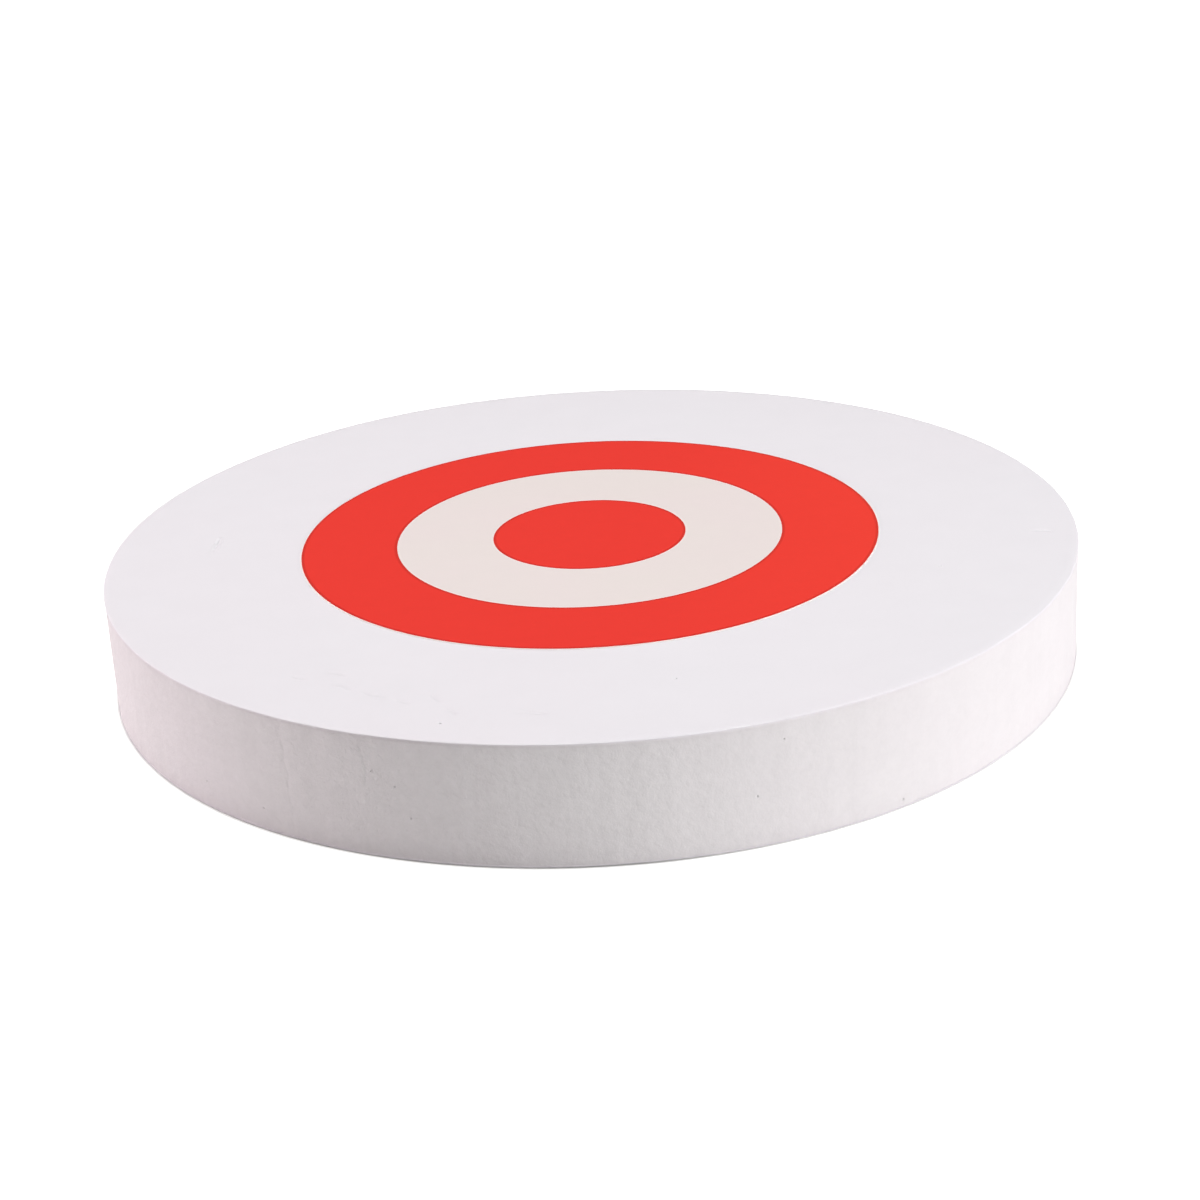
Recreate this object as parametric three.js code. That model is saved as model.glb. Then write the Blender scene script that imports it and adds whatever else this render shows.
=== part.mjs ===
// A round foam archery target that lies on its back.
// A white closed-cell foam slab has a smooth moulded skin on each face. A printed label, a cream
// film with a red ring and a red bullseye on it, is glued to the middle of the front face.
// Millimetres, +Z up. The origin is the centre of the back face, and +Z points out of the front.
import * as THREE from "three";

// Driving dimensions of the slab
const slabDiameter = 250;
const slabThickness = 30;
const skinThickness = 0.5;
const skinEdgeRadius = 0.35;

// Driving dimensions of the label: the bullseye, then a cream zone and a red zone of one width
const bullseyeDiameter = 50;
const zoneWidth = 25;
const adhesiveThickness = 0.05;
const filmThickness = 0.15;
const printThickness = 0.05;

// How finely round shapes are cut into flat facets
const segmentsRound = 144;
const segmentsInEdge = 4;

// Sizes worked out from the driving dimensions
const slabRadius = slabDiameter / 2;
const coreThickness = slabThickness - 2 * skinThickness;
const bullseyeRadius = bullseyeDiameter / 2;
const creamZoneRadius = bullseyeRadius + zoneWidth;
const redZoneRadius = creamZoneRadius + zoneWidth;

// The rounding of a skin's edge stops short of its whole thickness
const mostEdgeShare = 0.8;
const edgeRadius = Math.min(skinEdgeRadius, skinThickness * mostEdgeShare);

// The cut foam is chalky, its moulded skin a little smoother, and the film and inks smoother still
const cutFoam = new THREE.MeshStandardMaterial({ color: "#efecee", roughness: 0.9 });
const mouldedSkin = new THREE.MeshStandardMaterial({ color: "#eeeaf0", roughness: 0.75 });
const dryGlue = new THREE.MeshStandardMaterial({ color: "#e6e2d6", roughness: 0.6 });
const creamFilm = new THREE.MeshStandardMaterial({ color: "#ece4df", roughness: 0.65 });
const redInk = new THREE.MeshStandardMaterial({ color: "#f04237", roughness: 0.65 });

// Turns an outline of [radius, height] points about Z. A lathe turns about Y, so the result is
// tipped up. The outline goes out along the bottom, up the rim and back in along the top.
function turned(outline) {
  const points = outline.map(([radius, height]) => new THREE.Vector2(radius, height));
  return new THREE.LatheGeometry(points, segmentsRound).rotateX(Math.PI / 2);
}

// A plain disc with square edges
function disc(radius, thickness) {
  return turned([
    [0, 0],
    [radius, 0],
    [radius, thickness],
    [0, thickness],
  ]);
}

// A flat ring with square edges, whose outline closes on itself
function ring(innerRadius, outerRadius, thickness) {
  return turned([
    [innerRadius, 0],
    [outerRadius, 0],
    [outerRadius, thickness],
    [innerRadius, thickness],
    [innerRadius, 0],
  ]);
}

// The outline of a thin disc whose upper corner is rounded over
function roundedOutline(radius, thickness) {
  const outline = [
    [0, 0],
    [radius, 0],
  ];
  for (let step = 0; step <= segmentsInEdge; step += 1) {
    const angle = (step / segmentsInEdge) * (Math.PI / 2);
    outline.push([
      radius - edgeRadius * (1 - Math.cos(angle)),
      thickness - edgeRadius * (1 - Math.sin(angle)),
    ]);
  }
  outline.push([0, thickness]);
  return outline;
}

// The front skin is rounded at its top corner, away from the foam. Its flat top is divided at the
// label's edge, so that the bare margin and the label's seat are facets of their own.
function frontSkin() {
  const outline = roundedOutline(slabRadius, skinThickness);
  outline.splice(-1, 0, [redZoneRadius, skinThickness]);
  return turned(outline);
}

// The back skin is the front one turned over, so it is rounded at its bottom corner
function backSkin() {
  const outline = roundedOutline(slabRadius, skinThickness);
  return turned(outline.map(([radius, height]) => [radius, skinThickness - height]).reverse());
}

function piece(name, geometry, material) {
  const mesh = new THREE.Mesh(geometry, material);
  mesh.name = name;
  return mesh;
}

const slab = new THREE.Group();
const label = new THREE.Group();

// From the back face up, each layer lies on the one before. The two prints lie side by side.
const layers = [
  {
    group: slab,
    thickness: skinThickness,
    pieces: [piece("back_skin", backSkin(), mouldedSkin)],
  },
  {
    group: slab,
    thickness: coreThickness,
    pieces: [piece("foam_core", disc(slabRadius, coreThickness), cutFoam)],
  },
  {
    group: slab,
    thickness: skinThickness,
    pieces: [piece("front_skin", frontSkin(), mouldedSkin)],
  },
  {
    group: label,
    thickness: adhesiveThickness,
    pieces: [piece("label_adhesive", disc(redZoneRadius, adhesiveThickness), dryGlue)],
  },
  {
    group: label,
    thickness: filmThickness,
    pieces: [piece("label_film", disc(redZoneRadius, filmThickness), creamFilm)],
  },
  {
    group: label,
    thickness: printThickness,
    pieces: [
      piece("red_ring_print", ring(creamZoneRadius, redZoneRadius, printThickness), redInk),
      piece("red_bullseye_print", disc(bullseyeRadius, printThickness), redInk),
    ],
  },
];

// Vertices hold 32-bit numbers, so each thickness is rounded to one before it is added. The
// layers then meet face to face, with neither a gap nor an overlap.
let height = 0;
for (const layer of layers) {
  for (const mesh of layer.pieces) {
    mesh.position.z = height;
    layer.group.add(mesh);
  }
  height += Math.fround(layer.thickness);
}

const target = new THREE.Group();
target.add(slab, label);

export default target;
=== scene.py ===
# A round archery target of white foam that lies on its back. A cut slab of closed-cell foam has a
# smooth moulded skin on each face, and a printed label is glued to the middle of the front one.
import math

import bmesh
import bpy
import numpy as np
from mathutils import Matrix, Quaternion, Vector


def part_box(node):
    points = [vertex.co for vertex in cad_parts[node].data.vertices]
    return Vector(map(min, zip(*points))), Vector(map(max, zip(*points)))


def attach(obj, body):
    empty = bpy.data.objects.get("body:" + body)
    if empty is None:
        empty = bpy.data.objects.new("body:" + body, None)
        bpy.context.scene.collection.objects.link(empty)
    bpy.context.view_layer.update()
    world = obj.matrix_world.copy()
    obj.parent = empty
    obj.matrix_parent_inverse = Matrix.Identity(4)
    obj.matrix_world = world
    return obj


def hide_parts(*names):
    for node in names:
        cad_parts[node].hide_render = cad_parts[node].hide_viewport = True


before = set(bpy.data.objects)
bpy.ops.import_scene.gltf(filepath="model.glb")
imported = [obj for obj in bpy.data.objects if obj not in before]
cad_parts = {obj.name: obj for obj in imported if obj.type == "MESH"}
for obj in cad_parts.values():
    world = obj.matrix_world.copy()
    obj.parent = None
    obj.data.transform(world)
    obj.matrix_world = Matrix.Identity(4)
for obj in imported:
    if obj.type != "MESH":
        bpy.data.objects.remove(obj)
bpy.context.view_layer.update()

MM = 0.001
TURN = 2 * math.pi

# Sizes of the target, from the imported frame. The printed zones are equally wide.
SLAB_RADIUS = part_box("foam_core")[1].x
BACK_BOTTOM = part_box("back_skin")[0].z
CORE_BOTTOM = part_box("foam_core")[0].z
CORE_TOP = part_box("foam_core")[1].z
FACE_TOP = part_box("front_skin")[1].z
GLUE_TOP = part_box("label_adhesive")[1].z
FILM_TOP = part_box("label_film")[1].z
PRINT_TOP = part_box("red_ring_print")[1].z
LABEL_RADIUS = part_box("label_film")[1].x
BULLSEYE_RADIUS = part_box("red_bullseye_print")[1].x
CREAM_RADIUS = (LABEL_RADIUS + BULLSEYE_RADIUS) / 2

# The camera's place and lens, worked out from the rims and the printed circles. The lens and the
# sensor's width are in mm.
CAMERA_TARGET = Vector((1.753, 0, 11.273)) * MM
CAMERA_DISTANCE = 634.23 * MM
CAMERA_ELEVATION = math.radians(22.291)
CAMERA_ROLL = math.radians(-3.262)
CAMERA_LENS = 72.325
CAMERA_SENSOR = 36
CAMERA_CLIP = (10 * MM, 100)

# How finely the surfaces are divided: points round the rim, and steps along the surfaces. Towards
# the middle of a face the count of points halves, so that rings of two counts can be joined.
RIM_COLUMNS = 1152
LABEL_COLUMNS = RIM_COLUMNS // 2
FEWEST_COLUMNS = 9
WALL_STEP = 0.7 * MM
FACE_STEP = 1.2 * MM
UNDER_LABEL_STEP = 2.4 * MM
HIDDEN_STEP = 6 * MM
NARROWEST_FACE = 0.66
ROUNDING_STEPS = 4
SHARP_ANGLE = math.radians(50)

# Roundings of the outer edges
FRONT_ROUNDING = 0.35 * MM
BACK_ROUNDING = 0.2 * MM
FILM_ROUNDING = 0.14 * MM
INK_ROUNDING = 0.02 * MM

# The outer print stops this far inside the label's edge. Ink is denser this near its own edges, and
# the film beside it is lighter.
PRINT_MARGIN = 0.3 * MM
PRINT_RADIUS = LABEL_RADIUS - PRINT_MARGIN
DENSE_INK_WIDTH = 0.9 * MM
DENSE_INK_SHADE = 0.78
LIGHT_FILM_WIDTH = 0.7 * MM
LIGHT_FILM_SHADE = 1.07

# Where each random draw starts, so that it is the same in every run
FACE_SEED = 3
RIM_SEED = 11
WALL_SEED = 21
WALL_PIT_SEED = 31
BACK_PIT_SEED = 33
KNIFE_MARK_SEED = 41

# The front face sinks by up to this much below its highest level, and by this share of it between
# its waves, which are this long in mm. Both faces roll over towards the rim.
FACE_SINK = 0.16 * MM
FACE_SINK_SHARE = 0.5
FACE_WAVES = (45, 140)
FACE_WAVE_COUNT = 14
EDGE_ROLL = 0.10 * MM
EDGE_ROLL_WIDTH = 2.2 * MM

# The back's rim is a little off the floor at one azimuth
LIFT = 0.2 * MM
LIFT_WIDTH = 4 * MM
LIFT_AZIMUTH = 3.5
LIFT_SPREAD = 7

# The cut rim wanders inward by up to this much: by the first share of it between its waves, and by
# the second more or less on them. They are this long in mm.
RIM_WANDER = 0.14 * MM
RIM_SHARE = 0.4
RIM_WAVE_SHARE = 0.25
RIM_WAVES = (6, 60)
RIM_WAVE_COUNT = 20

# The cut wall lies a hair inside the skins' edges, most of all right beside them. Its relief fades
# inward on the slab's hidden faces, by this power of the radius, and marks reach in this far.
WALL_INSET = 0.11 * MM
WALL_FADE = 8
WALL_REACH = 1 * MM
FRONT_GROOVE = 0.32 * MM
BACK_GROOVE = 0.05 * MM
GROOVE_WIDTH = 0.4 * MM
GROOVE_RINGS = 4

# Relief of the wall, as waves: depth, shortest and longest wave in mm, how far the waves are turned
# from running round the wall, and their number. These are the knife's streaks, lumps and swells.
WALL_RELIEF = (
    (0.0055 * MM, (2.0, 9), 0.03, 70),
    (0.0078 * MM, (2.2, 7), math.pi, 160),
    (0.022 * MM, (25, 90), math.pi, 12),
)

# The cut is this many times rougher round one azimuth, and calmer round another
ROUGH_AZIMUTH = -18
ROUGH_SPREAD = 12
ROUGHER = 1.9
CALM_AZIMUTH = 60
CALM_SPREAD = (20, 60)
CALMER = 0.3

# Wavering upright knife marks in the wall, as azimuths in degrees and heights in mm
KNIFE_MARKS = (
    (
        (-35, 28.5),
        (-34.7, 26),
        (-34.2, 22),
        (-34.4, 19.5),
        (-34, 16),
        (-34.2, 12),
        (-33.9, 7),
        (-34.1, 2),
    ),
    ((-24.9, 27.5), (-24.6, 25), (-24.3, 21), (-24.6, 17)),
)
KNIFE_MARK_WIDTH = 0.7 * MM
KNIFE_MARK_DEPTH = 0.08 * MM
# More of them at random: their number, azimuths in degrees, the heights of their upper and lower
# ends in mm, the number of their points, and how far these lie off the azimuth, in degrees
MORE_KNIFE_MARKS = 8
MORE_MARK_AZIMUTHS = (60, 290)
MORE_MARK_TOPS = (20, 28)
MORE_MARK_BOTTOMS = (2, 12)
MORE_MARK_POINTS = 6
MORE_MARK_WAVER = 0.3

# Faint creases in the front skin, as x and y in mm
CREASES = (
    ((-97.5, 14), (-98.5, 3)),
    ((-69.5, -81), (-66, -83)),
    ((-62, -79.5), (-59.5, -80.5), (-57, -82.5)),
    ((-60.5, -86.5), (-57.5, -88), (-55, -91)),
    ((-53.5, -91), (-50.5, -94), (-47, -95.5)),
    ((-45, -97), (-41.5, -100)),
    ((-37.5, -95.5), (-34.5, -100)),
    ((-33.5, -103.5), (-31, -107)),
    ((-17.5, -107.5), (-11, -109)),
    ((112, -15.5), (117.5, -16.5)),
)
CREASE_WIDTH = 1.1 * MM
CREASE_DEPTH = 0.22 * MM
MARK_CELL = 0.3 * MM

# Burst bubbles in the cut wall: azimuth in degrees from the front to the right, height and width in mm
WALL_PITS = (
    (-47, 6.5, 0.6),
    (-38, 5.5, 0.55),
    (-23.6, 20.9, 0.85),
    (-21.2, 17.9, 0.6),
    (-19.7, 10.5, 0.6),
    (15.5, 12.5, 0.65),
    (18.5, 25, 0.6),
    (32.5, 2, 0.8),
)
# More of them at random: their number, azimuths in degrees, and heights in mm
MORE_WALL_PITS = 26
MORE_PIT_AZIMUTHS = (80, 300)
MORE_PIT_HEIGHTS = (2, 28)

# Pinholes in the front skin: x, y and width in mm
FACE_PITS = (
    (-34.5, -110.9, 0.9),
    (17.8, -94.2, 0.7),
    (86, -36, 0.7),
)

# Pinholes in the back skin at random: their number, how far out they lie as shares of the radius, and
# their angles from +X
BACK_PITS = 12
BACK_PIT_REACHES = (0.66, 0.97)
BACK_PIT_ANGLES = (0, math.pi)

# All pits: widths of the random ones in mm, depth as a share of the width, how steep their walls are,
# how many rings of faces round them are divided too, and how finely
RANDOM_PIT_WIDTHS = (0.5, 0.8)
PIT_DEPTH_SHARE = 0.45
PIT_STEEPNESS = 0.8
PIT_MARGIN = 1.5
PIT_CELL = 0.12 * MM

# How much painted shade darkens the marks, from 0 to 1, and the shade that a full measure of it gives
CREASE_PAINTED_SHADE = 0.2
KNIFE_MARK_PAINTED_SHADE = 0.1
PIT_PAINTED_SHADE = 0.6
PAINTED_SHADE_DARKEST = 0.8

# The floor: its hole under the target, a ring that divides it, how far it reaches, and how it glows
# for the camera, under the target's edge, beside it and far away. Under the edge it glows more at
# the right.
FLOOR_HEIGHT = -0.05 * MM
FLOOR_HOLE = SLAB_RADIUS - 1.2 * MM
FLOOR_MIDDLE = 1.5 * SLAB_RADIUS
FLOOR_RADIUS = 4.0
FLOOR_COLUMNS = 192
FLOOR_COLOUR = (0.73, 0.742, 0.712)
FLOOR_UNDER = SLAB_RADIUS - 0.5 * MM
FLOOR_NEAR = SLAB_RADIUS + 1 * MM
FLOOR_FAR = SLAB_RADIUS + 240 * MM
FLOOR_GLOW_UNDER = 0.02
FLOOR_GLOW_UNDER_RIGHT = 0.35
FLOOR_RIGHT_AZIMUTH = 55
FLOOR_RIGHT_SPREAD = 50
FLOOR_GLOW_NEAR = 0.9
FLOOR_GLOW_FAR = 1.0
# Close to the target the floor throws less light back at its front left and more at its right: the
# azimuth, how far the shade spreads, both in degrees, and the shade
FLOOR_SHADES = ((-26, 28, 0.8), (35, 35, 1.2))
FLOOR_SHADE_REACH = 14 * MM

# The light: an even part, which from below reaches the back alone, through the floor's hole, and
# softboxes aimed at the target. Azimuth 0 is the front, 90 the right.
AMBIENT_COLOUR = (1.0, 1.0, 1.0)
AMBIENT_STRENGTH = 0.03
BELOW_STRENGTH = 0.8
LAMP_TARGET = Vector((0, 0, 15 * MM))
LAMP_DISTANCE = 1.1
# Azimuth and elevation in degrees, width and height in metres, power in watts, and colour
SOFTBOXES = {
    "overhead softbox": (0, 90, (0.7, 0.7), 9.7, (0.995, 1.0, 0.995)),
    "right softbox": (59, 12, (0.6, 0.4), 7.3, (1.0, 0.955, 0.988)),
    "left softbox": (-92, 12, (0.6, 0.4), 6.55, (1.0, 0.85, 0.905)),
}

# Each material's two colours, between which it wanders, its lowest and highest roughness, and its
# specular level
FOAM_COLOURS = ((0.872, 0.846, 0.86), (0.872, 0.856, 0.862))
FOAM_ROUGHNESS = (0.86, 0.97)
FOAM_SPECULAR = 0.2
SKIN_COLOURS = ((0.874, 0.846, 0.876), (0.872, 0.854, 0.882))
SKIN_ROUGHNESS = (0.76, 0.88)
SKIN_SPECULAR = 0.08
GLUE_COLOURS = ((0.8, 0.77, 0.69), (0.77, 0.74, 0.64))
GLUE_ROUGHNESS = (0.4, 0.6)
FILM_COLOURS = ((0.858, 0.773, 0.752), (0.85, 0.781, 0.747))
FILM_ROUGHNESS = (0.72, 0.84)
FILM_SPECULAR = 0.08
# The red ink's second colour is lighter by a painted sheen, towards the right where the right lamp
# falls
INK_AND_SHEEN_COLOURS = ((0.865, 0.051, 0.038), (0.905, 0.057, 0.039))
INK_ROUGHNESS = (0.78, 0.88)
INK_SPECULAR = 0.05
# The ink goes from its first colour to its second, a painted sheen, between these two places along X
INK_SHEEN_SPAN = (LABEL_RADIUS / 5, LABEL_RADIUS)

# Noise in the materials: its size, detail and roughness, and how far it is stretched along Z. Most of
# it lies between the two levels.
NOISE_LEVELS = (0.3, 0.7)
FOAM_TINTS = (55 * MM, 1, 0.5, 1)
FOAM_STREAKS = (1.6 * MM, 3, 0.6, 30)
FOAM_PATCHES = (9 * MM, 3, 0.55, 1.5)
FOAM_PEBBLES = (2.2 * MM, 2, 0.5, 1)
FOAM_GRAIN = (0.8 * MM, 2, 0.6, 1)
SKIN_TINTS = (70 * MM, 2, 0.5, 1)
SKIN_PATCHES = (14 * MM, 3, 0.6, 1)
SKIN_GRAIN = (0.9 * MM, 3, 0.55, 1)
GLUE_BEADS = (1.5 * MM, 2, 0.5, 1)
FILM_TINTS = (30 * MM, 2, 0.5, 1)
FILM_FIBRES = (0.7 * MM, 4, 0.65, 1)
FILM_PATCHES = (6 * MM, 3, 0.6, 1)
INK_GRAIN = (0.6 * MM, 3, 0.6, 1)
INK_PATCHES = (4 * MM, 3, 0.6, 1)

# Widths of the foam's cells, in the cut and under the skin
CUT_CELL = 0.6 * MM
SKIN_CELL = 1.1 * MM

# The shades that the noise gives, from its lower level to its higher one. The cut foam's pebbles and
# grain darken it by up to GRAIN_DARKENS where the cut is not calm, and lighten it to GRAIN_LIGHT.
FOAM_STREAK_SHADES = (0.994, 1.004)
FOAM_PATCH_SHADES = (0.988, 1.008)
GRAIN_DARKENS = 0.018
GRAIN_LIGHT = 1.012
SKIN_PATCH_SHADES = (0.992, 1.006)
SKIN_GRAIN_SHADES = (0.996, 1.003)
FILM_FIBRE_SHADES = (0.993, 1.005)
FILM_PATCH_SHADES = (0.995, 1.004)
INK_GRAIN_SHADES = (0.985, 1.01)
INK_PATCH_SHADES = (0.99, 1.006)

# Depths of the fine relief in the materials
FOAM_STREAK_DEPTH = 0.011 * MM
FOAM_PEBBLE_DEPTH = 0.18 * MM
FOAM_GRAIN_DEPTH = 0.05 * MM
FOAM_CELL_DEPTH = 0.04 * MM
SKIN_GRAIN_DEPTH = 0.015 * MM
SKIN_CELL_DEPTH = 0.015 * MM
GLUE_BEAD_DEPTH = 0.03 * MM
FILM_FIBRE_DEPTH = 0.01 * MM
INK_GRAIN_DEPTH = 0.01 * MM


def azimuth_angle(azimuth):
    """The angle about Z, from +X, of an azimuth in degrees from the front towards the right."""
    return math.radians(azimuth - 90)


def off_azimuth(angle, azimuth):
    """How far angles about Z lie from an azimuth, in degrees."""
    return np.degrees((angle - azimuth_angle(azimuth) + math.pi) % TURN - math.pi)


def face_waves(x, y):
    """Smooth random relief of about -1 to 1: long waves that run in all directions."""
    rng = np.random.default_rng(FACE_SEED)
    total = np.zeros_like(x)
    for _ in range(FACE_WAVE_COUNT):
        wave = TURN / (rng.uniform(*FACE_WAVES) * MM)
        heading, phase = rng.uniform(0, TURN, 2)
        total += np.cos(wave * (x * math.cos(heading) + y * math.sin(heading)) + phase)
    return total / FACE_WAVE_COUNT


def wall_waves(angle, height, lengths, tilt, count, seed):
    """Random relief round the wall, of about -1 to 1, that closes on itself. The waves run round the
    wall, turned by up to the tilt towards Z."""
    rng = np.random.default_rng(seed)
    total = np.zeros_like(angle)
    for _ in range(count):
        wave = TURN / (math.exp(rng.uniform(*np.log(lengths))) * MM)
        lean = rng.uniform(-tilt, tilt)
        turns = round(wave * math.cos(lean) * SLAB_RADIUS)
        phase = rng.uniform(0, TURN)
        total += np.cos(turns * angle + wave * math.sin(lean) * height + phase)
    return total / math.sqrt(count)


def rim_inset(angle):
    """How far the cut runs inside the slab's radius."""
    waves = wall_waves(angle, np.zeros_like(angle), RIM_WAVES, 0, RIM_WAVE_COUNT, RIM_SEED)
    return RIM_WANDER * np.clip(RIM_SHARE + RIM_WAVE_SHARE * waves, 0, 1)


def face_sink(x, y):
    """How far the front face and all that lies on it sink below their highest level."""
    return FACE_SINK * np.clip(FACE_SINK_SHARE + face_waves(x, y), 0, 1)


def edge_roll(radius):
    """How far a face rolls over towards its rim."""
    share = np.clip(1 - (SLAB_RADIUS - radius) / EDGE_ROLL_WIDTH, 0, 1)
    return EDGE_ROLL * share**2


def back_lift(radius, angle):
    """How far the back's rim is off the floor."""
    share = np.clip(1 - (SLAB_RADIUS - radius) / LIFT_WIDTH, 0, 1)
    return LIFT * share**2 * np.exp(-((off_azimuth(angle, LIFT_AZIMUTH) / LIFT_SPREAD) ** 2))


def strip(first, first_count, second, second_count):
    """Faces between two rings of points, given by the number of their first point and their count."""
    faces = []
    if first_count == second_count:
        for j in range(first_count):
            k = (j + 1) % first_count
            faces.append((first + j, first + k, second + k, second + j))
    elif first_count == 1:
        for j in range(second_count):
            faces.append((first, second + (j + 1) % second_count, second + j))
    elif second_count == 1:
        for j in range(first_count):
            faces.append((first + j, first + (j + 1) % first_count, second))
    elif second_count == 2 * first_count:
        for j in range(first_count):
            k = (j + 1) % first_count
            middle = second + 2 * j + 1
            after = second + (2 * j + 2) % second_count
            faces.append((first + j, middle, second + 2 * j))
            faces.append((first + j, first + k, middle))
            faces.append((first + k, after, middle))
    else:
        for j in range(second_count):
            k = (j + 1) % second_count
            middle = first + 2 * j + 1
            after = first + (2 * j + 2) % first_count
            faces.append((first + 2 * j, middle, second + j))
            faces.append((middle, second + k, second + j))
            faces.append((middle, after, second + k))
    return faces


def turned_piece(name, rings, shape, closed=False):
    """A closed body made of rings of points about Z. Each ring is (radius, height, count), from the
    middle of the bottom round to the middle of the top, or round a loop where closed. A ring of
    radius 0 is one point. shape(radius, angle, height) gives the points' true radius and height."""
    counts = [1 if radius == 0 else count for radius, height, count in rings]
    starts = np.cumsum([0, *counts])
    radius = np.repeat([ring[0] for ring in rings], counts)
    height = np.repeat([ring[1] for ring in rings], counts)
    angle = np.concatenate([np.arange(count) * (TURN / count) for count in counts])
    radius, height = shape(radius, angle, height)
    points = np.stack([radius * np.cos(angle), radius * np.sin(angle), height], axis=1)
    faces = []
    for i in range(len(rings) if closed else len(rings) - 1):
        j = (i + 1) % len(rings)
        faces += strip(int(starts[i]), counts[i], int(starts[j]), counts[j])
    mesh = bpy.data.meshes.new(name)
    mesh.from_pydata(points.tolist(), [], faces)
    piece = bpy.data.objects.new(name, mesh)
    bpy.context.collection.objects.link(piece)
    return piece


def rings_across(outer, inner, height, columns, step):
    """Rings of a flat face, from just inside the outer radius to the inner one. Where they get small,
    their count of points halves, so that the faces between them stay about square."""
    rings = []
    for radius in np.linspace(outer, inner, max(1, round((outer - inner) / step)) + 1)[1:]:
        if columns > FEWEST_COLUMNS and TURN * radius / columns < NARROWEST_FACE * step:
            columns //= 2
        rings.append((float(radius), height, columns))
    return rings


def rings_round(radius, height, rounding, start, end, columns):
    """Rings of a rounded outer edge, whose centre lies at this radius and height."""
    rings = []
    for angle in np.radians(np.linspace(start, end, ROUNDING_STEPS + 1)):
        ring_radius = radius + rounding * math.cos(angle)
        rings.append((ring_radius, height + rounding * math.sin(angle), columns))
    return rings


def points_of(piece):
    """The piece's vertices as an array."""
    points = np.empty(3 * len(piece.data.vertices))
    piece.data.vertices.foreach_get("co", points)
    return points.reshape(-1, 3)


def move_points(piece, points):
    """Gives the piece's vertices new places."""
    piece.data.vertices.foreach_set("co", points.ravel())
    piece.data.update()


def refine(piece, spots, step, cell):
    """Divides the faces near each spot, a place and a reach, from a step wide to a cell wide."""
    points = points_of(piece)
    near = np.zeros(len(points), bool)
    for place, reach in spots:
        near |= np.linalg.norm(points - place, axis=1) < reach
    mesh = bmesh.new()
    mesh.from_mesh(piece.data)
    edges = [edge for edge in mesh.edges if near[edge.verts[0].index] and near[edge.verts[1].index]]
    cuts = max(1, round(step / cell) - 1)
    bmesh.ops.subdivide_edges(mesh, edges=edges, cuts=cuts, use_grid_fill=True)
    mesh.to_mesh(piece.data)
    mesh.free()


def painted_shade(piece, amounts):
    """Notes the painted shade at each of a piece's points, from 0 to 1, for its material to show."""
    layers = piece.data.attributes
    layer = layers.get("painted_shade") or layers.new("painted_shade", "FLOAT", "POINT")
    before = np.empty(len(amounts))
    layer.data.foreach_get("value", before)
    layer.data.foreach_set("value", np.maximum(before, amounts))


def sink_pits(piece, pits, step, inward):
    """Sinks round pits, each a place on the surface and a width, into a piece whose faces are a step
    wide. inward gives the way into the piece from each of its points."""
    spots = [(place, width / 2 + PIT_MARGIN * step) for place, width in pits]
    refine(piece, spots, step, PIT_CELL)
    points = points_of(piece)
    way = inward(points)
    deepest = np.zeros(len(points))
    for place, width in pits:
        away = np.linalg.norm(points - place, axis=1) / (width / 2)
        share = np.clip(1 - away**2, 0, 1) ** PIT_STEEPNESS
        points += (PIT_DEPTH_SHARE * width * share)[:, None] * way
        deepest = np.maximum(deepest, share)
    move_points(piece, points)
    # The pits get painted shade, darkest at their middles
    painted_shade(piece, PIT_PAINTED_SHADE * deepest)


def from_path(x, y, path):
    """How far points lie from a path of straight stretches, and their share of the way along it."""
    away = np.full_like(x, np.inf)
    share = np.zeros_like(x)
    for i in range(len(path) - 1):
        start = np.array(path[i])
        along = np.array(path[i + 1]) - start
        ahead = ((x - start[0]) * along[0] + (y - start[1]) * along[1]) / (along @ along)
        ahead = np.clip(ahead, 0, 1)
        gap = np.hypot(x - start[0] - ahead * along[0], y - start[1] - ahead * along[1])
        share = np.where(gap < away, (i + ahead) / (len(path) - 1), share)
        away = np.minimum(gap, away)
    return away, share


def sink_lines(piece, paths, width, depth, painted_share, step, flat, raised, inward):
    """Sinks shallow grooves along paths into a piece, darkened with painted shade. flat turns the
    piece's points into the two coordinates of the paths, and raised turns a point of a path into one
    of the piece."""
    spots = []
    for path in paths:
        for start, end in zip(path, path[1:]):
            pieces = math.ceil(math.dist(start, end) / step)
            for share in np.linspace(0, 1, pieces + 1)[:, None]:
                place = (1 - share) * start + share * end
                spots.append((raised(place), width + step))
    refine(piece, spots, step, MARK_CELL)
    points = points_of(piece)
    x, y = flat(points)
    way = inward(points)
    deepest = np.zeros(len(points))
    for path in paths:
        away, share = from_path(x, y, path)
        sink = np.sqrt(np.sin(math.pi * share).clip(0)) * np.exp(-((away / (width / 2)) ** 2))
        points += depth * sink[:, None] * way
        deepest = np.maximum(deepest, sink)
    move_points(piece, points)
    # The grooves get painted shade, darkest along their middles
    painted_shade(piece, painted_share * deepest)


def to_axis(points):
    """The way in from the wall. Points of the flat faces don't move."""
    radius = np.hypot(points[:, 0], points[:, 1])[:, None]
    at_wall = radius > SLAB_RADIUS - WALL_REACH
    return np.where(at_wall, -points * (1, 1, 0) / np.maximum(radius, MM), 0)


def down(points):
    """The way in from the top. Points of the underside don't move."""
    on_top = points[:, 2:] > (CORE_TOP + FACE_TOP) / 2
    return np.where(on_top, np.array([(0, 0, -1)]), 0)


def up(points):
    """The way in from the bottom. Points of the upper side don't move."""
    at_bottom = points[:, 2:] < CORE_BOTTOM / 2
    return np.where(at_bottom, np.array([(0, 0, 1)]), 0)


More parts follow.
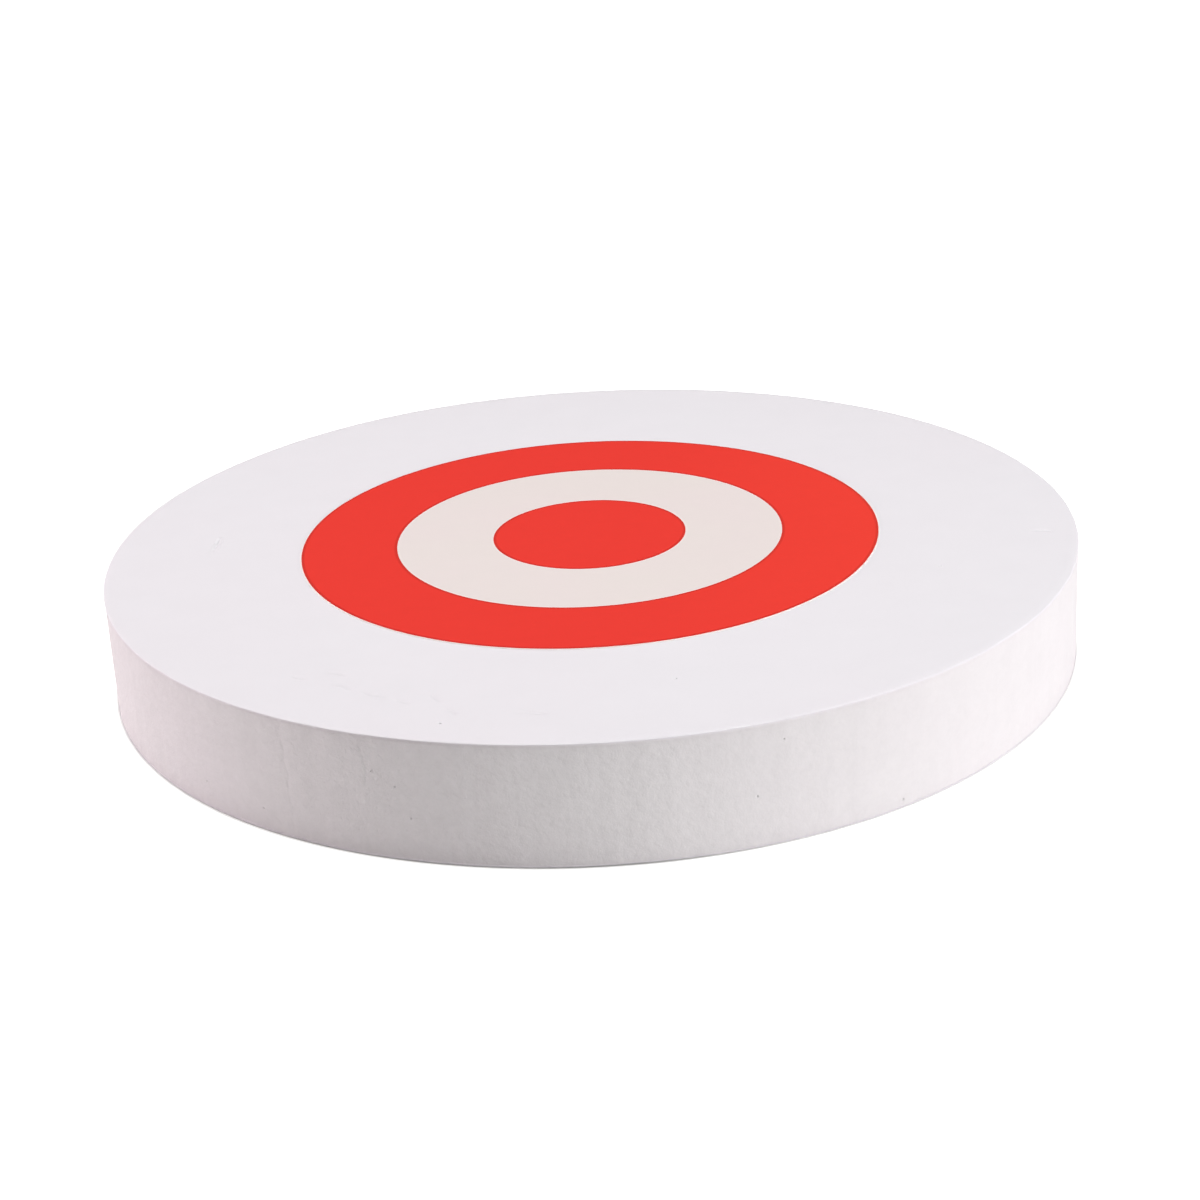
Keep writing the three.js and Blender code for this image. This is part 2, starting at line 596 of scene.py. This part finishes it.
def unrolled(points):
    """Points of the wall as their way round it from azimuth 0, and their height."""
    angle = np.arctan2(points[:, 1], points[:, 0])
    return np.radians(off_azimuth(angle, 0)) * SLAB_RADIUS, points[:, 2]


def on_wall(place):
    """The point of the wall at this way round it and height."""
    angle = azimuth_angle(0) + place[0] / SLAB_RADIUS
    radius = SLAB_RADIUS - WALL_INSET
    return np.array((radius * math.cos(angle), radius * math.sin(angle), place[1]))


def on_face(place):
    """The point of the front face at this x and y."""
    return np.array((place[0], place[1], FACE_TOP - FACE_SINK / 2))


def finish_piece(piece, node, material):
    """Smooths a piece's shading, gives it its material, and lets it stand for a CAD node."""
    piece.data.shade_smooth()
    piece.data.set_sharp_from_angle(angle=SHARP_ANGLE)
    piece.data.materials.append(material)
    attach(piece, "root")
    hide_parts(node)


def label_shape(radius, angle, height):
    """The label's layers follow the relief of the front face."""
    return radius, height - face_sink(radius * np.cos(angle), radius * np.sin(angle))


def front_skin_shape(radius, angle, height):
    """The front skin's top has the face's relief, and its rim follows the cut."""
    share = np.clip((height - CORE_TOP) / (FACE_TOP - CORE_TOP), 0, 1)
    sink = face_sink(radius * np.cos(angle), radius * np.sin(angle)) + edge_roll(radius)
    return radius - rim_inset(angle) * radius / SLAB_RADIUS, height - share * sink


def back_skin_shape(radius, angle, height):
    """The back skin is flat where it lies, with the same rim."""
    share = np.clip((CORE_BOTTOM - height) / (CORE_BOTTOM - BACK_BOTTOM), 0, 1)
    rise = edge_roll(radius) + back_lift(radius, angle)
    return radius - rim_inset(angle) * radius / SLAB_RADIUS, height + share * rise


def core_shape(radius, angle, height):
    """The cut wall, inside the skins' edges and with its relief. Only the rim of each face moves."""
    rough = np.exp(-((off_azimuth(angle, ROUGH_AZIMUTH) / ROUGH_SPREAD) ** 2))
    inset = rim_inset(angle) + WALL_INSET
    inset += FRONT_GROOVE * np.exp((height - CORE_TOP) / GROOVE_WIDTH)
    inset += BACK_GROOVE * np.exp((CORE_BOTTOM - height) / GROOVE_WIDTH)
    for seed, (depth, lengths, tilt, count) in enumerate(WALL_RELIEF, start=WALL_SEED):
        waves = wall_waves(angle, height, lengths, tilt, count, seed)
        inset += depth * (1 + (ROUGHER - 1) * rough) * waves
    at_rim = (radius / SLAB_RADIUS) ** WALL_FADE
    return radius - np.maximum(inset, 0) * at_rim, height


def wall_pits():
    """The burst bubbles that were seen in the wall, and more of them round the rest of it."""
    rng = np.random.default_rng(WALL_PIT_SEED)
    pits = list(WALL_PITS)
    for _ in range(MORE_WALL_PITS):
        azimuth = rng.uniform(*MORE_PIT_AZIMUTHS)
        height = rng.uniform(*MORE_PIT_HEIGHTS)
        pits.append((azimuth, height, rng.uniform(*RANDOM_PIT_WIDTHS)))
    return [
        (on_wall((math.radians(azimuth) * SLAB_RADIUS, height * MM)), width * MM)
        for azimuth, height, width in pits
    ]


def back_pits():
    """Pinholes at random on the outer part of the back."""
    rng = np.random.default_rng(BACK_PIT_SEED)
    pits = []
    for _ in range(BACK_PITS):
        radius = rng.uniform(*BACK_PIT_REACHES) * SLAB_RADIUS
        angle = rng.uniform(*BACK_PIT_ANGLES)
        place = (radius * math.cos(angle), radius * math.sin(angle), BACK_BOTTOM)
        pits.append((place, rng.uniform(*RANDOM_PIT_WIDTHS) * MM))
    return pits


def knife_marks():
    """The knife marks that were seen in the wall, and more of them round the rest of it."""
    rng = np.random.default_rng(KNIFE_MARK_SEED)
    marks = list(KNIFE_MARKS)
    for _ in range(MORE_KNIFE_MARKS):
        azimuth = rng.uniform(*MORE_MARK_AZIMUTHS)
        top = rng.uniform(*MORE_MARK_TOPS)
        bottom = rng.uniform(*MORE_MARK_BOTTOMS)
        mark = []
        for height in np.linspace(top, bottom, MORE_MARK_POINTS):
            mark.append((azimuth + rng.uniform(-MORE_MARK_WAVER, MORE_MARK_WAVER), height))
        marks.append(mark)
    return [
        [np.array((math.radians(azimuth) * SLAB_RADIUS, height * MM)) for azimuth, height in mark]
        for mark in marks
    ]


def wall_heights():
    """Heights of the wall's rings, which lie closer beside the skins."""
    thickness = CORE_TOP - CORE_BOTTOM
    beside = np.linspace(0, 2 * GROOVE_WIDTH, GROOVE_RINGS + 1)
    rows = round(thickness / WALL_STEP)
    between = np.linspace(beside[-1], thickness - beside[-1], rows)[1:-1]
    offsets = np.concatenate([beside, between, thickness - beside[::-1]])
    return (CORE_BOTTOM + offsets).tolist()


def make_core():
    """The slab of cut foam. Its flat top and bottom are hidden under the skins."""
    bottom = rings_across(SLAB_RADIUS, 0, CORE_BOTTOM, RIM_COLUMNS, HIDDEN_STEP)[::-1]
    wall = [(SLAB_RADIUS, height, RIM_COLUMNS) for height in wall_heights()]
    top = rings_across(SLAB_RADIUS, 0, CORE_TOP, RIM_COLUMNS, HIDDEN_STEP)
    piece = turned_piece("cut_foam_slab", bottom + wall + top, core_shape)
    size = (KNIFE_MARK_WIDTH, KNIFE_MARK_DEPTH, KNIFE_MARK_PAINTED_SHADE)
    sink_lines(piece, knife_marks(), *size, WALL_STEP, unrolled, on_wall, to_axis)
    sink_pits(piece, wall_pits(), WALL_STEP, to_axis)
    finish_piece(piece, "foam_core", cut_foam())


def make_front_skin():
    """The moulded skin on the front, with its rounded rim and its bare margin."""
    inner = SLAB_RADIUS - FRONT_ROUNDING
    seat = LABEL_RADIUS - 2 * FACE_STEP
    under = rings_across(SLAB_RADIUS, 0, CORE_TOP, RIM_COLUMNS, HIDDEN_STEP)[::-1]
    rim = [(SLAB_RADIUS, CORE_TOP, RIM_COLUMNS)]
    rim += rings_round(inner, FACE_TOP - FRONT_ROUNDING, FRONT_ROUNDING, 0, 90, RIM_COLUMNS)
    margin = rings_across(inner, seat, FACE_TOP, RIM_COLUMNS, FACE_STEP)
    hidden = rings_across(seat, 0, FACE_TOP, margin[-1][2], UNDER_LABEL_STEP)
    piece = turned_piece("front_skin_sheet", under + rim + margin + hidden, front_skin_shape)
    creases = [[np.array(place) * MM for place in crease] for crease in CREASES]
    size = (CREASE_WIDTH, CREASE_DEPTH, CREASE_PAINTED_SHADE)
    sink_lines(piece, creases, *size, FACE_STEP, lambda points: points.T[:2], on_face, down)
    pits = [((x * MM, y * MM, FACE_TOP), width * MM) for x, y, width in FACE_PITS]
    sink_pits(piece, pits, FACE_STEP, down)
    finish_piece(piece, "front_skin", moulded_skin())


def make_back_skin():
    """The moulded skin on the back, which the target lies on."""
    inner = SLAB_RADIUS - BACK_ROUNDING
    face = rings_across(inner, 0, BACK_BOTTOM, RIM_COLUMNS, UNDER_LABEL_STEP)[::-1]
    rim = rings_round(inner, BACK_BOTTOM + BACK_ROUNDING, BACK_ROUNDING, -90, 0, RIM_COLUMNS)
    rim += [(SLAB_RADIUS, CORE_BOTTOM, RIM_COLUMNS)]
    over = rings_across(SLAB_RADIUS, 0, CORE_BOTTOM, RIM_COLUMNS, HIDDEN_STEP)
    piece = turned_piece("back_skin_sheet", face + rim + over, back_skin_shape)
    sink_pits(piece, back_pits(), UNDER_LABEL_STEP, up)
    finish_piece(piece, "back_skin", moulded_skin())


def layer_rings(outer, inner, bottom, top, rounding, step):
    """Rings of a thin layer with its outer upper edge rounded: below, round the edge, and above."""
    under = rings_across(outer, inner, bottom, LABEL_COLUMNS, UNDER_LABEL_STEP)[::-1]
    edge = [(outer, bottom, LABEL_COLUMNS)]
    edge += rings_round(outer - rounding, top - rounding, rounding, 0, 90, LABEL_COLUMNS)
    return under + edge + rings_across(outer - rounding, inner, top, LABEL_COLUMNS, step)


def make_label():
    """The glue, the cream film and the two red prints, from the face up."""
    glue = layer_rings(LABEL_RADIUS, 0, FACE_TOP, GLUE_TOP, INK_ROUNDING, UNDER_LABEL_STEP)
    film = layer_rings(LABEL_RADIUS, 0, GLUE_TOP, FILM_TOP, FILM_ROUNDING, FACE_STEP)
    ring = layer_rings(PRINT_RADIUS, CREAM_RADIUS, FILM_TOP, PRINT_TOP, INK_ROUNDING, FACE_STEP)
    bullseye = layer_rings(BULLSEYE_RADIUS, 0, FILM_TOP, PRINT_TOP, INK_ROUNDING, FACE_STEP)
    layer = turned_piece("label_glue_layer", glue, label_shape)
    finish_piece(layer, "label_adhesive", dry_glue())
    layer = turned_piece("label_film_sheet", film, label_shape)
    finish_piece(layer, "label_film", cream_film())
    ink = red_ink()
    layer = turned_piece("red_ring_ink", ring, label_shape, closed=True)
    finish_piece(layer, "red_ring_print", ink)
    layer = turned_piece("red_bullseye_ink", bullseye, label_shape)
    finish_piece(layer, "red_bullseye_print", ink)


def add_node(tree, kind, inputs=None, **settings):
    """Adds a node, sets its settings, and links or sets its inputs."""
    made = tree.nodes.new(kind)
    for name, value in settings.items():
        setattr(made, name, value)
    for socket, value in (inputs or {}).items():
        if isinstance(value, bpy.types.NodeSocket):
            tree.links.new(value, made.inputs[socket])
        else:
            made.inputs[socket].default_value = value
    return made


def new_material(name):
    """A material with its node tree, its Principled shader and the object's coordinates."""
    material = bpy.data.materials.new(name)
    material.use_nodes = True
    tree = material.node_tree
    shader = tree.nodes["Principled BSDF"]
    place = add_node(tree, "ShaderNodeTexCoord").outputs["Object"]
    return material, tree, shader, place


def noise(tree, place, size, detail, roughness, stretch):
    """Smooth noise of this size, in metres, and stretched along Z by this much."""
    if stretch != 1:
        scale = (1, 1, 1 / stretch)
        place = add_node(tree, "ShaderNodeMapping", {"Vector": place, "Scale": scale}).outputs[0]
    inputs = {"Vector": place, "Scale": 1 / size, "Detail": detail, "Roughness": roughness}
    return add_node(tree, "ShaderNodeTexNoise", inputs).outputs["Fac"]


def cells(tree, place, size):
    """Distance to the nearest wall between foam cells of this size, in metres."""
    inputs = {"Vector": place, "Scale": 1 / size}
    made = add_node(tree, "ShaderNodeTexVoronoi", inputs, feature="DISTANCE_TO_EDGE")
    return made.outputs["Distance"]


def spread(tree, value, low, high, start=NOISE_LEVELS[0], end=NOISE_LEVELS[1]):
    """Brings a value between start and end, such as noise, to between low and high."""
    inputs = {"Value": value, "From Min": start, "From Max": end, "To Min": low, "To Max": high}
    return add_node(tree, "ShaderNodeMapRange", inputs).outputs["Result"]


def arithmetic(tree, operation, *values):
    """The result of an operation on two or three values."""
    inputs = dict(enumerate(values))
    return add_node(tree, "ShaderNodeMath", inputs, operation=operation).outputs["Value"]


def towards(tree, place, azimuth, degrees, values):
    """A value on the wall that goes from the first to the second between two distances from an
    azimuth, in degrees."""
    angle = azimuth_angle(azimuth)
    inputs = {0: place, 1: (math.cos(angle), math.sin(angle), 0)}
    reach = add_node(tree, "ShaderNodeVectorMath", inputs, operation="DOT_PRODUCT").outputs["Value"]
    start, end = (math.cos(math.radians(value)) * SLAB_RADIUS for value in degrees)
    return spread(tree, reach, *values, start, end)


def tinted(tree, share, first, second):
    """A colour between two, given the share of the second."""
    ramp = add_node(tree, "ShaderNodeValToRGB", {"Fac": share})
    ramp.color_ramp.elements[0].color = (*first, 1)
    ramp.color_ramp.elements[1].color = (*second, 1)
    return ramp.outputs["Color"]


def shaded(tree, colour, *values):
    """A colour made lighter or darker by values near 1."""
    for value in values:
        inputs = {"Color": colour, "Value": value}
        colour = add_node(tree, "ShaderNodeHueSaturation", inputs).outputs["Color"]
    return colour


def beside_edges(tree, place, shade, width):
    """Shades for the two sides of the printed zones' edges, which fade out over a width."""
    level = add_node(tree, "ShaderNodeVectorMath", {0: place, 1: (1, 1, 0)}, operation="MULTIPLY")
    inputs = {0: level.outputs["Vector"]}
    radius = add_node(tree, "ShaderNodeVectorMath", inputs, operation="LENGTH").outputs["Value"]
    shades = []
    for edge in (PRINT_RADIUS, CREAM_RADIUS, BULLSEYE_RADIUS):
        away = arithmetic(tree, "ABSOLUTE", arithmetic(tree, "SUBTRACT", radius, edge))
        shades.append(spread(tree, away, shade, 1, width / 2, width))
    return shades


def painted_mark_shade(tree):
    """The painted shade in a piece's marks: darker in its pits, creases and knife marks."""
    amount = add_node(tree, "ShaderNodeAttribute", attribute_name="painted_shade").outputs["Fac"]
    return spread(tree, amount, 1, PAINTED_SHADE_DARKEST, 0, 1)


def bumped(tree, shader, *reliefs):
    """Gives a shader reliefs, each a height from 0 to 1 and its depth in metres."""
    normal = None
    for height, depth in reliefs:
        inputs = {"Height": height, "Distance": depth}
        if normal:
            inputs["Normal"] = normal
        normal = add_node(tree, "ShaderNodeBump", inputs).outputs["Normal"]
    tree.links.new(normal, shader.inputs["Normal"])


def cut_foam():
    """Open cells with a pebbly grain, faint upright knife streaks and a chalky surface."""
    material, tree, shader, place = new_material("cut foam")
    tint = spread(tree, noise(tree, place, *FOAM_TINTS), 0, 1)
    colour = tinted(tree, tint, *FOAM_COLOURS)
    streaks = noise(tree, place, *FOAM_STREAKS)
    patches = noise(tree, place, *FOAM_PATCHES)
    pebbles = noise(tree, place, *FOAM_PEBBLES)
    grain = noise(tree, place, *FOAM_GRAIN)
    cell = cells(tree, place, CUT_CELL)
    rough = towards(tree, place, ROUGH_AZIMUTH, (ROUGH_SPREAD, 0), (1, ROUGHER))
    calm = towards(tree, place, CALM_AZIMUTH, CALM_SPREAD[::-1], (1, CALMER))
    amount = arithmetic(tree, "MULTIPLY", rough, calm)
    darkest = arithmetic(tree, "MULTIPLY_ADD", calm, -GRAIN_DARKENS, 1)
    shades = (
        spread(tree, streaks, *FOAM_STREAK_SHADES),
        spread(tree, patches, *FOAM_PATCH_SHADES),
        spread(tree, pebbles, darkest, GRAIN_LIGHT),
        spread(tree, grain, darkest, GRAIN_LIGHT),
        # painted shade in the pits and knife marks
        painted_mark_shade(tree),
    )
    tree.links.new(shaded(tree, colour, *shades), shader.inputs["Base Color"])
    tree.links.new(spread(tree, grain, *FOAM_ROUGHNESS), shader.inputs["Roughness"])
    shader.inputs["Specular IOR Level"].default_value = FOAM_SPECULAR
    reliefs = (
        (streaks, FOAM_STREAK_DEPTH),
        (pebbles, FOAM_PEBBLE_DEPTH),
        (grain, FOAM_GRAIN_DEPTH),
        (cell, FOAM_CELL_DEPTH),
    )
    reliefs = [(arithmetic(tree, "MULTIPLY", height, amount), depth) for height, depth in reliefs]
    bumped(tree, shader, *reliefs)
    return material


def moulded_skin():
    """A smooth, closed skin with a faint leathery grain."""
    material, tree, shader, place = new_material("moulded foam skin")
    tint = spread(tree, noise(tree, place, *SKIN_TINTS), 0, 1)
    colour = tinted(tree, tint, *SKIN_COLOURS)
    patches = noise(tree, place, *SKIN_PATCHES)
    grain = noise(tree, place, *SKIN_GRAIN)
    cell = cells(tree, place, SKIN_CELL)
    shades = (
        spread(tree, patches, *SKIN_PATCH_SHADES),
        spread(tree, grain, *SKIN_GRAIN_SHADES),
        # painted shade in the creases and pinholes
        painted_mark_shade(tree),
    )
    tree.links.new(shaded(tree, colour, *shades), shader.inputs["Base Color"])
    tree.links.new(spread(tree, patches, *SKIN_ROUGHNESS), shader.inputs["Roughness"])
    shader.inputs["Specular IOR Level"].default_value = SKIN_SPECULAR
    bumped(tree, shader, (grain, SKIN_GRAIN_DEPTH), (cell, SKIN_CELL_DEPTH))
    return material


def dry_glue():
    """The thin yellowish line of glue round the label's edge."""
    material, tree, shader, place = new_material("dry glue")
    beads = noise(tree, place, *GLUE_BEADS)
    colour = tinted(tree, spread(tree, beads, 0, 1), *GLUE_COLOURS)
    tree.links.new(colour, shader.inputs["Base Color"])
    tree.links.new(spread(tree, beads, *GLUE_ROUGHNESS), shader.inputs["Roughness"])
    bumped(tree, shader, (beads, GLUE_BEAD_DEPTH))
    return material


def cream_film():
    """Matt cream film with a trace of paper-like fibre."""
    material, tree, shader, place = new_material("cream film")
    tint = spread(tree, noise(tree, place, *FILM_TINTS), 0, 1)
    colour = tinted(tree, tint, *FILM_COLOURS)
    fibres = noise(tree, place, *FILM_FIBRES)
    patches = noise(tree, place, *FILM_PATCHES)
    shades = [spread(tree, fibres, *FILM_FIBRE_SHADES)]
    shades.append(spread(tree, patches, *FILM_PATCH_SHADES))
    shades += beside_edges(tree, place, LIGHT_FILM_SHADE, LIGHT_FILM_WIDTH)
    tree.links.new(shaded(tree, colour, *shades), shader.inputs["Base Color"])
    tree.links.new(spread(tree, fibres, *FILM_ROUGHNESS), shader.inputs["Roughness"])
    shader.inputs["Specular IOR Level"].default_value = FILM_SPECULAR
    bumped(tree, shader, (fibres, FILM_FIBRE_DEPTH))
    return material


def red_ink():
    """Matt red ink with a painted sheen, lighter towards the right, and the film's grain in it."""
    material, tree, shader, place = new_material("red ink")
    across = add_node(tree, "ShaderNodeSeparateXYZ", {0: place}).outputs["X"]
    # Painted sheen: the ink gets lighter towards the right
    colour = tinted(tree, spread(tree, across, 0, 1, *INK_SHEEN_SPAN), *INK_AND_SHEEN_COLOURS)
    grain = noise(tree, place, *INK_GRAIN)
    patches = noise(tree, place, *INK_PATCHES)
    shades = [spread(tree, grain, *INK_GRAIN_SHADES)]
    shades.append(spread(tree, patches, *INK_PATCH_SHADES))
    shades += beside_edges(tree, place, DENSE_INK_SHADE, DENSE_INK_WIDTH)
    tree.links.new(shaded(tree, colour, *shades), shader.inputs["Base Color"])
    tree.links.new(spread(tree, grain, *INK_ROUGHNESS), shader.inputs["Roughness"])
    shader.inputs["Specular IOR Level"].default_value = INK_SPECULAR
    bumped(tree, shader, (grain, INK_GRAIN_DEPTH))
    return material


def make_floor():
    """A pale floor. The camera sees it lit from within, more so away from the target, so that it is
    white there and keeps the target's shadow. It is open under the target and clear from below."""
    mesh = bpy.data.meshes.new("floor")
    builder = bmesh.new()
    rings = []
    for radius in (FLOOR_HOLE, FLOOR_MIDDLE, FLOOR_RADIUS):
        ring = []
        for angle in np.linspace(0, TURN, FLOOR_COLUMNS, endpoint=False):
            point = (radius * math.cos(angle), radius * math.sin(angle), FLOOR_HEIGHT)
            ring.append(builder.verts.new(point))
        rings.append(ring)
    for inner, outer in zip(rings, rings[1:]):
        for j in range(FLOOR_COLUMNS):
            k = (j + 1) % FLOOR_COLUMNS
            builder.faces.new((inner[j], outer[j], outer[k], inner[k]))
    builder.to_mesh(mesh)
    builder.free()
    floor = bpy.data.objects.new("floor", mesh)
    bpy.context.collection.objects.link(floor)
    floor.data.materials.append(floor_material())


def floor_material():
    """Pale floor: matt for light, and lit from within for the camera, reflections and glass."""
    material = bpy.data.materials.new("pale floor")
    material.use_nodes = True
    tree = material.node_tree
    tree.nodes.clear()
    place = add_node(tree, "ShaderNodeTexCoord").outputs["Object"]
    reach = add_node(tree, "ShaderNodeVectorMath", {0: place}, operation="LENGTH").outputs["Value"]
    glows = (FLOOR_GLOW_UNDER, FLOOR_GLOW_UNDER_RIGHT)
    under = towards(tree, place, FLOOR_RIGHT_AZIMUTH, (FLOOR_RIGHT_SPREAD, 0), glows)
    near = spread(tree, reach, under, FLOOR_GLOW_NEAR, FLOOR_UNDER, FLOOR_NEAR)
    far = spread(tree, reach, 0, FLOOR_GLOW_FAR - FLOOR_GLOW_NEAR, FLOOR_NEAR, FLOOR_FAR)
    glow = arithmetic(tree, "MULTIPLY", arithmetic(tree, "ADD", near, far), seen_directly(tree))
    shades = []
    for azimuth, degrees, shade in FLOOR_SHADES:
        side = towards(tree, place, azimuth, (degrees, 0), (1, shade))
        shades.append(spread(tree, reach, side, 1, SLAB_RADIUS, SLAB_RADIUS + FLOOR_SHADE_REACH))
    inputs = {"Color": shaded(tree, (*FLOOR_COLOUR, 1), *shades)}
    matt = add_node(tree, "ShaderNodeBsdfDiffuse", inputs)
    light = add_node(tree, "ShaderNodeEmission", {"Strength": glow})
    both = add_node(tree, "ShaderNodeAddShader", {0: matt.outputs[0], 1: light.outputs[0]})
    clear = add_node(tree, "ShaderNodeBsdfTransparent")
    back = add_node(tree, "ShaderNodeNewGeometry").outputs["Backfacing"]
    inputs = {0: back, 1: both.outputs[0], 2: clear.outputs[0]}
    sides = add_node(tree, "ShaderNodeMixShader", inputs)
    add_node(tree, "ShaderNodeOutputMaterial", {"Surface": sides.outputs[0]})
    return material


def seen_directly(tree):
    """1 for what the camera sees, straight or by reflection or through glass, and 0 for light."""
    path = add_node(tree, "ShaderNodeLightPath").outputs
    reflected = arithmetic(tree, "MAXIMUM", path["Is Glossy Ray"], path["Is Transmission Ray"])
    return arithmetic(tree, "MAXIMUM", path["Is Camera Ray"], reflected)


def make_world():
    """White behind everything that the camera sees, and an even light on the target, weak from above
    and stronger from below."""
    world = bpy.data.worlds.new("studio")
    world.use_nodes = True
    tree = world.node_tree
    tree.nodes.clear()
    heading = add_node(tree, "ShaderNodeTexCoord").outputs["Generated"]
    rise = add_node(tree, "ShaderNodeSeparateXYZ", {0: heading}).outputs["Z"]
    below = arithmetic(tree, "LESS_THAN", rise, 0)
    strength = spread(tree, below, AMBIENT_STRENGTH, BELOW_STRENGTH, 0, 1)
    inputs = {"Color": (*AMBIENT_COLOUR, 1), "Strength": strength}
    ambient = add_node(tree, "ShaderNodeBackground", inputs)
    white = add_node(tree, "ShaderNodeBackground", {"Color": (1, 1, 1, 1), "Strength": 1.0})
    inputs = {0: seen_directly(tree), 1: ambient.outputs[0], 2: white.outputs[0]}
    mix = add_node(tree, "ShaderNodeMixShader", inputs)
    add_node(tree, "ShaderNodeOutputWorld", {"Surface": mix.outputs[0]})
    bpy.context.scene.world = world


def softbox(name, azimuth, elevation, size, power, colour):
    """A soft lamp that looks at the target from an azimuth and elevation in degrees."""
    lamp = bpy.data.lights.new(name, "AREA")
    lamp.shape = "RECTANGLE"
    lamp.size, lamp.size_y = size
    lamp.energy = power
    lamp.color = colour
    angle, rise = azimuth_angle(azimuth), math.radians(elevation)
    level = math.cos(rise)
    away = Vector((level * math.cos(angle), level * math.sin(angle), math.sin(rise)))
    holder = bpy.data.objects.new(name, lamp)
    holder.location = LAMP_TARGET + away * LAMP_DISTANCE
    holder.rotation_mode = "QUATERNION"
    holder.rotation_quaternion = (-away).to_track_quat("-Z", "Y")
    bpy.context.collection.objects.link(holder)


def make_camera():
    """The camera at the place from which the rims and the printed circles were seen."""
    data = bpy.data.cameras.new("camera")
    data.sensor_width = CAMERA_SENSOR
    data.lens = CAMERA_LENS
    data.clip_start, data.clip_end = CAMERA_CLIP
    camera = bpy.data.objects.new("camera", data)
    back = Vector((0, -math.cos(CAMERA_ELEVATION), math.sin(CAMERA_ELEVATION)))
    camera.location = CAMERA_TARGET + back * CAMERA_DISTANCE
    camera.rotation_mode = "QUATERNION"
    roll = Quaternion((0, 0, 1), CAMERA_ROLL)
    camera.rotation_quaternion = (-back).to_track_quat("-Z", "Y") @ roll
    bpy.context.collection.objects.link(camera)
    bpy.context.scene.camera = camera


make_camera()
make_world()
make_floor()
for name, settings in SOFTBOXES.items():
    softbox(name, *settings)
make_back_skin()
make_core()
make_front_skin()
make_label()

bpy.context.scene.view_settings.view_transform = "Standard"
